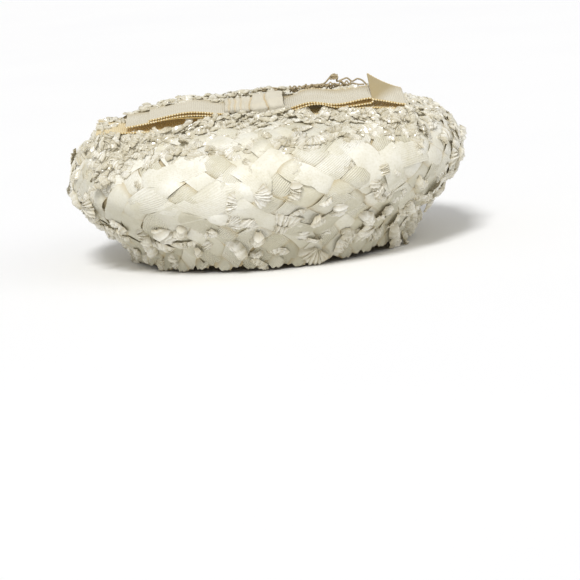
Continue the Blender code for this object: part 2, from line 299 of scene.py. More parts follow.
def makeGrosgrain(name, base, darker, glow=0.0):
    look = ribbonLook
    finish = {"Roughness": look["roughness"], "Sheen Weight": look["sheen"], "Emission Strength": glow}
    made, shader, wire = newMaterial(name, {**finish, "Emission Color": (*darker, 1.0)})
    along, across = uvParts(wire)
    ribs = (along * (2 * math.pi / look["ribPitch"])).sine()
    threads = (across * (2 * math.pi / look["threadPitch"])).sine()
    cloud = noise(wire, 90.0, 3.0).mapped(0.35, 0.75)
    valley = ribs.mapped(-1.0, 0.3, (look["valleyShade"], 0.0)) + cloud * look["valleyShade"]
    # Painted shade: the ribbon goes tan over the raised flap and towards its rear edge.
    turned = attribute(wire, "turned").mapped(0.0, 1.0)
    cloth = turned.mixed(valley.mixed(base, darker), look["turned"])
    atEdge = attribute(wire, "edge").mapped(look["edgeFrom"], 1.0)
    plug(shader, "Base Color", atEdge.mixed(cloth, look["edge"]))
    ribHeight = turned.mapped(0.0, 1.0, (look["ribHeight"], look["turnedRibHeight"]))
    plugBump(shader, ribs * ribHeight + threads * 0.12 + noise(wire, 1500.0) * 0.5, *look["bump"])
    return made


straw = makeStraw()
puffStraw = makePuffStraw()
foundationStraw = makeThread("foundationStraw")
ribbonFace = makeGrosgrain("grosgrainFace", ribbonLook["face"], ribbonLook["faceShade"])
ribbonBack = makeGrosgrain("grosgrainBack", ribbonLook["back"], ribbonLook["backShade"], ribbonLook["glow"])
picotThread = makeThread("picotThread")
veilThread = makeThread("veilThread")
print("materials made")


# Helpers for pieces


def deselect():
    if bpy.context.object and bpy.context.object.mode != "OBJECT":
        bpy.ops.object.mode_set(mode="OBJECT")
    bpy.ops.object.select_all(action="DESELECT")


def only(piece):
    deselect()
    piece.select_set(True)
    bpy.context.view_layer.objects.active = piece


def joined(parts, name):
    deselect()
    for part in parts:
        part.select_set(True)
    bpy.context.view_layer.objects.active = parts[0]
    bpy.ops.object.join()
    piece = bpy.context.object
    piece.name = name
    piece.data.name = name
    return piece


def copyOf(source, moved):
    copy = source.copy()
    copy.data = source.data.copy()
    bpy.context.collection.objects.link(copy)
    copy.data.transform(moved)
    return copy


def coordinates(mesh):
    flat = np.empty(len(mesh.vertices) * 3)
    mesh.vertices.foreach_get("co", flat)
    return flat.reshape(-1, 3)


def setCoordinates(mesh, places):
    mesh.vertices.foreach_set("co", np.asarray(places, float).ravel())
    mesh.update()


def setValues(mesh, **values):
    for name, value in values.items():
        layer = mesh.attributes.get(name) or mesh.attributes.new(name, "FLOAT", "POINT")
        layer.data.foreach_set("value", np.broadcast_to(value, len(mesh.vertices)).astype(np.float32))


def gridSheet(stepsAlong, stepsAcross):
    deselect()
    bpy.ops.mesh.primitive_grid_add(x_subdivisions=stepsAlong, y_subdivisions=stepsAcross, size=2)
    sheet = bpy.context.object
    places = coordinates(sheet.data)
    return sheet, (places[:, 0] + 1) / 2, places[:, 1]


def scaleUv(mesh, length, width):
    layer = mesh.uv_layers[0]
    layer.name = "UVMap"
    flat = np.empty(len(mesh.loops) * 2)
    layer.data.foreach_get("uv", flat)
    flat = flat.reshape(-1, 2) * (length, width)
    layer.data.foreach_set("uv", flat.ravel())


def thicken(piece, thickness, offset=0.0, innerSlot=0):
    wall = piece.modifiers.new("wall", "SOLIDIFY")
    wall.thickness = thickness
    wall.offset = offset
    wall.material_offset = innerSlot
    only(piece)
    bpy.ops.object.modifier_apply(modifier=wall.name)


def smooth(piece, degrees):
    only(piece)
    bpy.ops.object.shade_smooth_by_angle(angle=math.radians(degrees))


def dress(piece, material, nodes, slotName):
    piece.data.materials.clear()
    piece.data.materials.append(material)
    place(piece, nodes, slotName)


def place(piece, nodes, slotName):
    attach(piece, "root")
    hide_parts(*nodes)
    print(piece.name, len(piece.data.polygons), "faces")


def between(wanted, known, places):
    return np.stack([np.interp(wanted, known, places[:, k]) for k in range(places.shape[1])], -1)


# The crown's outline, as the frame has it. Level 0 is the rim, 1 the bulge and 2 the top centre.

crown = {
    "rim": (0.073, 0.078),  # half its width and half its length, as for the bulge
    "bulge": (0.1035, 0.11),
    "height": 0.0805,
    "bulgeHeight": 0.046,
    "bulgeLean": 0.003,
    "flare": 2.15,
    "squareness": 2.35,
}


def bulgeHeightAt(angle):
    return crown["bulgeHeight"] + crown["bulgeLean"] * np.cos(angle)


def crownAt(angle, level):
    low = bulgeHeightAt(angle)
    flare = np.sin(np.clip(level, 0, 1) * np.pi / 2) ** crown["flare"]
    turn = np.clip(level - 1, 0, 0.999) * np.pi / 2
    reach = np.cos(turn) ** (2 / crown["squareness"])
    rise = np.sin(turn) ** (2 / crown["squareness"])
    lower = level < 1
    sizes = zip(crown["rim"], crown["bulge"])
    halves = [np.where(lower, rim + (bulge - rim) * flare, bulge * reach) for rim, bulge in sizes]
    height = np.where(lower, low * level, low + (crown["height"] - low) * rise)
    return np.stack([halves[0] * np.cos(angle), halves[1] * np.sin(angle), height], -1)


def unit(vectors):
    return vectors / np.maximum(np.linalg.norm(vectors, axis=-1, keepdims=True), 1e-12)


def slopesAt(surface, first, second, step=0.01):
    alongFirst = surface(first + step, second) - surface(first - step, second)
    alongSecond = surface(first, second + step) - surface(first, second - step)
    return alongFirst, alongSecond


def surfaceNormal(surface, first, second):
    return unit(np.cross(*slopesAt(surface, first, second)))


def reachAt(x, y):
    return np.hypot(x / crown["bulge"][0], y / crown["bulge"][1])


def tipAt(x, y):
    low = bulgeHeightAt(np.arctan2(y / crown["bulge"][1], x / crown["bulge"][0]))
    inner = np.clip(1 - np.clip(reachAt(x, y), 0, 0.9995) ** crown["squareness"], 0, 1)
    height = low + (crown["height"] - low) * inner ** (1 / crown["squareness"])
    return np.stack([x, y, height], -1)


# Bow: where its ribbons lie. The straw under them is pressed flat.
# A layer's rows are places out from the bow's middle, each with the layer's height there.

bow = {
    "width": 0.036,
    "thickness": 0.0005,
    "edgeInset": 0.0006,
    "gap": 0.0003,
    "centre": (-0.0032, -0.05),
    "tilt": math.radians(6.0),
    "knotHalfLength": 0.015,
    "knotOverhang": 0.001,
    "underKnot": 0.002,  # how far the loops' ends run in under the knot
    "besideKnot": 0.0012,
    "leftReach": 0.0537,
    "rightReach": 0.06,
    "underReach": 0.0657,
    "underTailReach": 0.0808,
    "tailReach": 0.0768,
    "layers": {
        "leftTail": ((0.014, 0.0), (0.056, -0.0032), (0.081, -0.0018)),
        "leftUnder": ((0.014, 0.0008), (0.038, 0.0026), (0.066, 0.0002)),
        "leftFloor": ((0.014, 0.0016), (0.038, 0.0034), (0.056, 0.0014)),
        "leftRoof": ((0.014, 0.0024), (0.034, 0.0052), (0.056, 0.0024)),
        "rightTail": ((0.014, 0.0), (0.032, -0.0022), (0.052, -0.0008), (0.077, -0.0024)),
        "rightFloor": ((0.014, 0.0008), (0.031, 0.003), (0.043, 0.0008), (0.061, 0.001)),
        "rightRoof": ((0.014, 0.0016), (0.029, 0.0042), (0.043, 0.0024), (0.061, 0.0036)),
    },
    "tailFold": 0.0024,
    "flapLength": 0.016,
    "flapRise": 0.0064,
    "flapCornerRise": 0.0034,
    "pressedRelief": 0.0007,
    "pressedMargin": 0.003,
}


def underBow(x, y):
    along = x - bow["centre"][0]
    across = abs(y - bow["centre"][1])
    within = (-bow["underTailReach"] < along) & (along < bow["tailReach"])
    return within & (across < bow["width"] / 2 + bow["pressedMargin"])


# Foundation: the straw net that carries the plait, seen in the gaps and from inside.

foundation = {
    "depth": 0.0021,
    "wall": 0.0008,
    "segments": 120,
    "rings": 60,
    "edgeHeight": 0.0042,
    "poleFrom": 1.99,
}


def makeFoundationShell():
    deselect()
    size = {"segments": foundation["segments"], "ring_count": foundation["rings"], "radius": 1}
    bpy.ops.mesh.primitive_uv_sphere_add(**size)
    shell = bpy.context.object
    bpy.ops.object.mode_set(mode="EDIT")
    bpy.ops.mesh.select_all(action="SELECT")
    bpy.ops.mesh.bisect(plane_co=(0, 0, 0), plane_no=(0, 0, 1), clear_inner=True, threshold=0.001)
    bpy.ops.object.mode_set(mode="OBJECT")
    places = coordinates(shell.data)
    angle = np.arctan2(places[:, 1], places[:, 0])
    level = np.clip(np.arcsin(np.clip(places[:, 2], -1, 1)) / (np.pi / 2) * 2, 0, 1.999)
    normal = surfaceNormal(crownAt, angle, np.clip(level, 0.012, 1.98))  # just clear of the rim and the pole
    surface = crownAt(angle, level)
    pole = level > foundation["poleFrom"]
    normal[pole] = (0, 0, 1)
    surface[pole] = (0, 0, crown["height"])
    inner = surface - normal * foundation["depth"]
    inner[:, 2] = np.maximum(inner[:, 2], foundation["edgeHeight"])
    setCoordinates(shell.data, inner)
    thicken(shell, foundation["wall"], 1.0)
    smooth(shell, 60)
    shell.name = "strawFoundation"
    dress(shell, foundationStraw, ["crown_side", "crown_tip"], "straw")


makeFoundationShell()
print("foundation made")


# Side plait: two families of strips on the bias, rising from the rim to the seam.
# In the lattice (i, j) a strip of one family keeps i and one of the other keeps j.

sidePlait = {
    "strips": 36,
    "cell": 0.0116,
    "width": 0.0121,
    "cellSteps": 8,
    "looseness": 0.0009,
    "tilt": 0.08,
    "floats": 0.13,  # share of crossings where a strip runs on over the next one
    "foldDepth": 0.0024,
    "topLevel": 1.52,
    "topTuck": 0.25,
    "unevenness": 0.1,
    "sways": ((5, 1.3, 0), (8, -1.1, 2)),  # turns round the crown, rise for each row, and start
    "rowSway": (7, 1.2, 0.8),
    "lobes": (0.02, 0.14),
    "lobeRound": 0.24,
}

# What both plaits share, and how each strip strays from the even weave.

weave = {
    "acrossSteps": 5,
    "thickness": 0.00022,
    "wave": 0.00045,
    "crowning": 0.00012,
    "widths": (0.9, 1.05),
    "widthWander": 0.09,
    "lineWander": 0.04,
    "offLine": 0.05,
    "squareness": 0.6,
    "cups": (-1.0, 1.6),
    "acrossRipple": 0.00014,
    "alongRipple": 0.00016,
    "looseShare": 0.6,
    "fold": (0.1, 1.2),
    "foldSlack": 0.065,
    "tuck": (0.16, 1.3),
    "pressedShare": 0.35,
    "pressedAbove": 0.06,
    "lowest": 0.0004,
    "tone": (0.42, 0.32),
    "toneWander": 0.3,
    "ribbed": (0.3, 0.35),
    "ages": (0.6, 1.0),
}


def sideRowTable():
    levels = np.linspace(0, 1.75, 900)
    points = crownAt(np.full_like(levels, math.pi / 4), levels)
    steps = np.linalg.norm(np.diff(points, axis=0), axis=1)
    halfWidth = np.abs(points[:, 0]) / math.cos(math.pi / 4)
    halfLength = np.abs(points[:, 1]) / math.sin(math.pi / 4)
    girth = np.pi * np.sqrt(2 * (halfWidth**2 + halfLength**2))
    diagonal = girth / sidePlait["strips"]
    rise = np.sqrt(np.maximum(sidePlait["cell"] ** 2 - diagonal**2 / 4, 1e-6))
    return np.concatenate([[0], np.cumsum(0.5 * steps / ((rise[1:] + rise[:-1]) / 2))]), levels


rowTable, levelTable = sideRowTable()
topRow = float(np.interp(sidePlait["topLevel"], levelTable, rowTable))


def swayAt(angle, row, turns, rise, start):
    return np.sin(angle * turns + row * rise + start)


def sideSurface(i, j):
    row = np.maximum((j - i) / 2, 0.0)
    turn = 2 * np.pi / sidePlait["strips"]
    angle = turn * (i + j) / 2
    fade = np.clip(row / 1.2, 0, 1)  # even at the rim
    sway = sum(swayAt(angle, row, *wave) for wave in sidePlait["sways"])
    angle = angle + turn * sidePlait["unevenness"] * fade * sway
    row = row + 0.5 * sidePlait["unevenness"] * fade * swayAt(angle, row, *sidePlait["rowSway"])
    return crownAt(angle, np.interp(row, rowTable, levelTable))


# Which family lies on top at each crossing: 1 where it is the strip that keeps i, -1 where the other.


def overTable(rows, columns, floats):
    i, j = np.mgrid[0:rows, 0:columns]
    plain = np.where((i + j) % 2 == 0, 1, -1)
    return np.where(rng.random((rows, columns)) < floats, -plain, plain)


def cellNoise(count, spread):
    return rng.normal(0.0, spread, count)


def hump(x):
    return np.where(np.abs(x) < 1, np.cos(np.clip(x, -1, 1) * np.pi / 2) ** 2, 0)


def overCells(humps, values):
    return sum(h * value for h, value in zip(humps, values))


def ordered(keeps, kept, other):
    return (kept, other) if keeps == "i" else (other, kept)


def sunk(distance, reach, power):
    return 1 - np.exp(-((distance / reach) ** power))


# Painted shade, with some ageing: the straw is coloured darker towards the rim, and highest up at the two
# sides, where the underside turns away from the light.

shadeAndAgeing = {
    "share": 1.2,
    "height": 0.034,
    "asideShare": 0.8,
    "asideFrom": 0.045,
    "asideOver": 0.03,
    "asideTop": 0.052,
    "asideFade": 0.016,
}


def shadeAndAgeAt(places):
    low = np.clip(shadeAndAgeing["share"] - places[:, 2] / shadeAndAgeing["height"], 0, 1)
    aside = np.clip((np.abs(places[:, 0]) - shadeAndAgeing["asideFrom"]) / shadeAndAgeing["asideOver"], 0, 1)
    aside = aside * np.clip((shadeAndAgeing["asideTop"] - places[:, 2]) / shadeAndAgeing["asideFade"], 0, 1)
    return np.clip(low + shadeAndAgeing["asideShare"] * aside, 0, 1)


def plaitStrip(surface, keeps, fixed, start, end, look, overAt, edges):
    sheet, share, across = gridSheet(int((end - start) * look["cellSteps"]), weave["acrossSteps"])
    along = start + share * (end - start)
    width = look["width"] * rng.uniform(*weave["widths"])
    halfShare = width / 2 / look["cell"]
    first = math.floor(start)
    cells = int(math.ceil(end)) - first + 2
    steps = range(first, first + cells)
    onTop = np.array([overAt(*ordered(keeps, fixed, step)) for step in steps]) * (1 if keeps == "i" else -1)
    humps = [hump(along - step) for step in steps]
    over = overCells(humps, onTop)
    over = np.sign(over) * np.abs(over) ** weave["squareness"]
    sideways = across * halfShare * (1 + overCells(humps, cellNoise(cells, weave["widthWander"])))
    sideways = sideways + rng.uniform(-weave["offLine"], weave["offLine"])
    sideways = sideways + overCells(humps, cellNoise(cells, weave["lineWander"]))
    cup = weave["crowning"] * rng.uniform(*weave["cups"])
    height = weave["wave"] * over - cup * across**2 * (0.6 + 0.4 * over)
    ripple = np.sin(across * rng.uniform(3, 7) + rng.uniform(0, 6))
    height += weave["acrossRipple"] * ripple * (0.5 + 0.5 * over)
    ripple = np.sin(along * rng.uniform(5, 9) + across * rng.uniform(-3, 3) + rng.uniform(0, 6))
    height += weave["alongRipple"] * ripple
    lift = np.abs(cellNoise(cells, 1.0)) * look["looseness"]
    lift = lift * (rng.random(cells) < weave["looseShare"]) * (onTop > 0)
    tilt = cellNoise(cells, look["tilt"]) * (onTop > 0)
    for c in range(cells):
        height += humps[c] ** 1.3 * (lift[c] * (1 - 0.5 * across**2) + tilt[c] * across * width / 2)
    i, j = ordered(keeps, fixed + sideways, along)
    row, bottom, top = edges(i, j, across)
    if bottom is not None:  # the strip turns up again at the rim
        folded = np.clip(bottom - row, 0, None)
        height -= look["foldDepth"] * sunk(folded, *weave["fold"])
        row = np.maximum(row, bottom) + 0.9 * np.clip(folded - weave["foldSlack"], 0, None)
        middle = (i + j) / 2
        i, j = middle - row, middle + row
    height -= look["foldDepth"] * sunk(np.clip(row - top, 0, None), *weave["tuck"])
    places = surface(i, j)
    pressed = underBow(places[:, 0], places[:, 1]) & (places[:, 2] > weave["pressedAbove"])
    height = height * np.where(pressed, weave["pressedShare"], 1.0)
    places = places + surfaceNormal(surface, i, j) * height[:, None]
    places[:, 2] = np.maximum(places[:, 2], weave["lowest"])
    setCoordinates(sheet.data, places)
    tone = rng.normal(*weave["tone"]) + overCells(humps, cellNoise(cells, weave["toneWander"]))
    ribbed = rng.normal(*weave["ribbed"])
    # Painted shade: browner where the strip dips under the crossing strip and along its edges.
    depth = np.clip(0.5 - over * 0.5, 0, 1) * 0.8 + 0.2 * np.abs(across) ** 3
    aged = shadeAndAgeAt(places) * rng.uniform(*weave["ages"])
    setValues(sheet.data, tone=np.clip(tone, 0, 1), ribbed=np.clip(ribbed, 0, 1), depth=depth, aged=aged)
    scaleUv(sheet.data, (end - start) * look["cell"], width)
    return sheet


def finishStrips(strips, name, node):
    piece = joined(strips, name)
    thicken(piece, weave["thickness"])
    smooth(piece, 50)
    dress(piece, straw, [node], "straw")


sideOver = overTable(sidePlait["strips"], int(2 * topRow) + 4, sidePlait["floats"])
lobes = rng.uniform(*sidePlait["lobes"], sidePlait["strips"])


def sideOverAt(i, j):
    if 0 <= j - i < sideOver.shape[1]:
        return sideOver[i % sidePlait["strips"], j - i] * (1 if i % 2 else -1)
    return 1 if (j - i) % 2 == 0 else -1


def sideEdges(i, j, across):
    lobe = lobes[np.round((i + j) / 2).astype(int) % sidePlait["strips"]]
    return (j - i) / 2, lobe + sidePlait["lobeRound"] * np.abs(across) ** 2.4, topRow - sidePlait["topTuck"]


def makeSidePlait():
    reach = 2 * topRow + 0.7
    foldUnder = 0.9
    for keeps, name in (("i", "sideStrawRising"), ("j", "sideStrawFalling")):
        strips = []
        for k in range(sidePlait["strips"]):
            ends = (k - foldUnder, k + reach) if keeps == "i" else (k - reach, k + foldUnder)
            strips.append(plaitStrip(sideSurface, keeps, k, *ends, sidePlait, sideOverAt, sideEdges))
        finishStrips(strips, name, "crown_side")


makeSidePlait()
print("side plait made")


# Loose strips: lengths of the ribbon that run on over the plait and are tucked in at both ends.
# One row for each: angle and level at its two ends, width, how ribbed and how dark it is, how far it bends.

looseStraw = {
    "height": 0.0013,
    "tuck": 0.0024,
    "ripple": 0.0003,
    "rows": (
        (-2.33, 0.88, -2.05, 1.015, 0.01, 0.6, 0.0, 0.0),
        (-2.67, 0.98, -2.34, 1.1, 0.009, 0.5, 0.0, 0.1),
        (-2.24, 0.7, -1.64, 1.08, 0.0125, 0.3, 0.4, -0.1),
        (-1.13, 1.25, -1.06, 0.835, 0.0145, 0.1, 0.3, 0.2),
        (-0.93, 1.2, -0.865, 0.745, 0.012, 0.1, 0.4, -0.1),
        (-0.862, 0.735, -0.77, 0.4, 0.0066, 1.0, 0.3, 0.0),
        (-1.29, 0.86, -1.045, 0.555, 0.01, 1.0, 0.5, 0.0),
        (-2.08, 0.77, -1.89, 0.52, 0.0115, 0.8, 0.8, 0.3),
        (-1.75, 1.19, -1.6, 0.86, 0.011, 0.2, 0.5, 0.4),
        (-2.63, 1.2, -2.3, 1.32, 0.0095, 0.5, 0.3, 0.1),
        (-2.25, 1.125, -1.82, 1.26, 0.01, 0.3, 0.2, -0.2),
        (-1.26, 1.15, -1.085, 1.29, 0.0085, 0.4, 0.4, 0.0),
        (-1.0, 1.02, -0.62, 1.05, 0.0105, 0.3, 0.4, 0.2),
        (-0.64, 0.64, -0.58, 0.96, 0.009, 0.6, 0.5, 0.1),
        (-1.56, 0.64, -1.3, 0.42, 0.01, 0.7, 0.7, -0.2),
        (-1.48, 1.13, -1.25, 0.9, 0.009, 0.2, 0.3, 0.1),
        (0.5, 0.8, 0.9, 1.05, 0.011, 0.6, 0.3, 0.1),
        (1.3, 1.05, 1.6, 0.8, 0.0105, 0.3, 0.4, 0.0),
        (2.0, 0.7, 2.35, 1.0, 0.011, 0.5, 0.3, 0.2),
        (2.7, 1.1, 2.95, 0.75, 0.01, 0.8, 0.4, 0.0),
        (0.05, 0.7, 0.3, 1.05, 0.0105, 0.5, 0.4, -0.1),
    ),
}


def looseStrip(row):
    fromAngle, fromLevel, toAngle, toLevel, width, ribbed, dark, bend = row
    sheet, share, across = gridSheet(18, 6)
    bowed = bend * 4 * share * (1 - share)
    angle = fromAngle + (toAngle - fromAngle) * share - bowed * (toLevel - fromLevel) * 0.5
    level = fromLevel + (toLevel - fromLevel) * share + bowed * (toAngle - fromAngle) * 0.4
    perAngle, perLevel = (np.linalg.norm(slope, axis=1) / 0.02 for slope in slopesAt(crownAt, angle, level))
    runs = np.stack([(toAngle - fromAngle) * perAngle, (toLevel - fromLevel) * perLevel], -1)
    direction = unit(runs)
    fromMiddle = np.abs(2 * share - 1)
    half = width / 2 * across * (1 - 0.25 * fromMiddle**6) * (1 + 0.04 * np.sin(share * 7 + fromAngle))
    angle = angle - direction[:, 1] * half / perAngle
    level = level + direction[:, 0] * half / perLevel
    ends = fromMiddle**7
    height = looseStraw["height"] * (1 - 0.25 * across**2 * rng.uniform(-0.5, 1)) - looseStraw["tuck"] * ends
    ripple = np.sin(share * rng.uniform(4, 8) + across * rng.uniform(-2, 2) + rng.uniform(0, 6))
    height += looseStraw["ripple"] * ripple
    places = crownAt(angle, level) + surfaceNormal(crownAt, angle, level) * height[:, None]
    setCoordinates(sheet.data, places)
    # Painted shade at the tucked-in ends.
    setValues(sheet.data, tone=dark, ribbed=ribbed, depth=0.6 * ends, aged=shadeAndAgeAt(places))
    scaleUv(sheet.data, float(np.linalg.norm(runs.mean(0))), width)
    return sheet


finishStrips([looseStrip(row) for row in looseStraw["rows"]], "looseStraw", "crown_side")
print("loose strips made")


# Tip plait: a square plait on the bias, tucked under the side at the seam.

tipPlait = {
    "cell": 0.0115,
    "width": 0.0119,
    "cellSteps": 7,
    "looseness": 0.001,
    "tilt": 0.1,
    "floats": 0.08,
    "foldDepth": 0.0022,
    "seamReach": 0.885,
    "rows": 8,
    "tuck": 0.12,
    "size": 24,
}
tipStep = tipPlait["cell"] / math.sqrt(2)
tipLimit = math.ceil(crown["bulge"][1] / tipPlait["cell"])


def tipSurface(i, j):
    return tipAt((i + j) * tipStep, (j - i) * tipStep)


def tipReach(i, j):
    return reachAt((i + j) * tipStep, (j - i) * tipStep)


def tipCell(x, y):
    return (x - y) / tipStep / 2, (x + y) / tipStep / 2


tipOver = overTable(tipPlait["size"], tipPlait["size"], tipPlait["floats"])


def tipOverAt(i, j):
    size = tipPlait["size"]
    return tipOver[(i + size // 2) % size, (j + size // 2) % size]


def tipEdges(i, j, across):
    rows = tipPlait["rows"]
    return tipReach(i, j) * rows, None, tipPlait["seamReach"] * rows - tipPlait["tuck"]


def makeTipPlait():
    reach = tipPlait["seamReach"] + 0.02
    runs = np.linspace(-tipLimit * 1.5, tipLimit * 1.5, 600)
    for keeps, name in (("i", "tipStrawOne"), ("j", "tipStrawTwo")):
        strips = []
        for k in range(-tipLimit, tipLimit + 1):
            within = runs[tipReach(*ordered(keeps, np.full_like(runs, float(k)), runs)) < reach]
            if len(within) >= 40:  # a shorter strip would hardly show
                ends = within[0], within[-1]
                strips.append(plaitStrip(tipSurface, keeps, k, *ends, tipPlait, tipOverAt, tipEdges))
        finishStrips(strips, name, "crown_tip")


makeTipPlait()
print("tip plait made")


# Puffs: short lengths of straw ribbon gathered up and tucked in at their ends. The low kinds lie
# crumpled on the plait and the tall ones stand up in pleats. One row for each kind: its folds
# and their depth, depth of the furrows along it, its rise, how far the folds fan out,
# how pinched the middle is, how far the length curls round, and its share of the width.

puff = {
    "length": 0.012,
    "width": 0.0078,
    "stepsAcross": 7,
    "foldSpacing": (0.6, 1.4),
    "crests": (0.5, 1.2),
    "slant": 0.1,
    "shift": 0.3,
    "tuck": 0.001,
    "crumple": 0.00013,
    "lean": {"low": 0.13, "tall": 0.22},
    "stretch": (0.85, 1.2),
    "toneSpread": 0.28,
    "lowest": 0.0003,
    "low": (
        (6, 0.0009, 0.0002, 0.001, 0.3, 0.0, 0.3, 1.0),
        (8, 0.0007, 0.0002, 0.0009, 0.8, 0.3, 0.8, 0.9),
        (5, 0.0008, 0.0004, 0.0012, -0.6, 0.5, -0.6, 1.1),
        (7, 0.001, 0.0002, 0.001, 1.2, 0.1, 0.1, 1.2),
        (4, 0.0006, 0.0006, 0.0009, 0.2, 0.6, 1.3, 0.7),
        (6, 0.001, 0.0003, 0.001, -1.0, 0.2, -1.1, 1.0),
        (3, 0.0005, 0.0007, 0.0011, 0.5, 0.2, 0.5, 0.8),
    ),
    "tall": (
        (6, 0.0014, 0.0002, 0.0022, 0.4, 0.1, 0.3, 1.0),
        (7, 0.0012, 0.0002, 0.002, 1.3, 0.5, -0.4, 1.1),
        (5, 0.0016, 0.0004, 0.0024, -0.5, 0.2, 0.9, 0.8),
        (4, 0.0013, 0.0005, 0.0024, 0.6, 0.3, -0.8, 1.0),
        (8, 0.0012, 0.0002, 0.0018, -1.2, 0.0, 0.6, 1.2),
        (3, 0.0008, 0.0003, 0.0036, 0.4, 0.0, 0.4, 0.7),
    ),
}


def makePuffKind(row):
    folds, deep, furrow, rise, fan, pinch, curl, wide = row
    columns = 2 * folds + 2
    sheet, share, across = gridSheet(columns, puff["stepsAcross"])
    column = np.round(share * columns).astype(int)
    line = np.round((across + 1) / 2 * puff["stepsAcross"]).astype(int)
    places = np.concatenate([[0], np.cumsum(rng.uniform(*puff["foldSpacing"], columns))])
    along = (places / places[-1] * 2 - 1)[column]
    crest = (column % 2) * rng.uniform(*puff["crests"], columns + 1)[column]
    slant = rng.normal(0, puff["slant"], columns + 1)[column] + fan * along * 0.3
    ends = np.clip(1 - np.abs(along) ** 4, 0, 1)
    sides = np.sqrt(np.clip(1 - 0.97 * across**2, 0, 1))
    pinched = 1 - pinch * np.exp(-((along / 0.3) ** 2))
    halfWidth = puff["width"] / 2 * wide * (0.45 + 0.55 * ends) * pinched
    y = halfWidth * across * (1 + 0.3 * (crest - 0.4) * across**2)
    z = rise * sides * (0.3 + 0.7 * ends) * pinched
    z = z + deep * (crest - 0.4) * (0.25 + 0.75 * ends) * (0.45 + 0.55 * sides)
    z = z + furrow * (line % 2 - 0.5) * ends - puff["tuck"] * (1 - ends)
    x = puff["length"] / 2 * (along + slant * across)
    x = x + rng.normal(0, puff["shift"], columns + 1)[column] * deep * sides
    crumple = puff["crumple"] * rng.normal(0, 1, (3, len(x)))
    turn = curl * along
    bent = np.stack([x * np.cos(turn) - y * np.sin(turn), x * np.sin(turn) + y * np.cos(turn), z], -1)
    setCoordinates(sheet.data, bent + crumple.T)
    # Painted shade: browner in the fold valleys and furrows, along the sides and at the tucked ends.
    valley = (1 - column % 2) * 0.55 * np.clip(deep / 0.001, 0, 1) + 0.3 * (1 - line % 2) * furrow / 0.0007
    setValues(sheet.data, depth=np.clip(valley + across**6 * 0.4 + (1 - ends) * 0.5, 0, 1))
    scaleUv(sheet.data, puff["length"], puff["width"])
    return sheet


def makePuffs(name, spots, nodes, tone):
    kinds = {height: [makePuffKind(row) for row in puff[height]] for height in ("low", "tall")}
    copies = []
    for position, normal, size, heading, height in spots:
        source = kinds[height][rng.integers(len(kinds[height]))]
        up = Vector(normal).normalized()
        up = (up + Vector(rng.normal(0, puff["lean"][height], 3))).normalized()
        sideways = (Vector(heading) - up * up.dot(Vector(heading))).normalized()
        ahead = up.cross(sideways)
        scale = size * rng.uniform(*puff["stretch"], 3)
        turn = Matrix((sideways, ahead, up)).transposed()
        shape = Matrix.Diagonal(Vector((*scale, 1.0)))
        copy = copyOf(source, Matrix.Translation(position) @ turn.to_4x4() @ shape)
        setValues(copy.data, tone=np.clip(rng.normal(tone, puff["toneSpread"]), 0, 1))
        copies.append(copy)
    piece = joined(copies, name)
    for kind in kinds["low"] + kinds["tall"]:
        bpy.data.objects.remove(kind, do_unlink=True)
    places = coordinates(piece.data)
    places[:, 2] = np.maximum(places[:, 2], puff["lowest"])
    setCoordinates(piece.data, places)
    setValues(piece.data, aged=shadeAndAgeAt(places))
    smooth(piece, 28)
    dress(piece, puffStraw, nodes, "straw")
    print(name, len(spots), "puffs")


# How puffs spread. The shares of the side's height count from the rim (0) up to the seam (1).

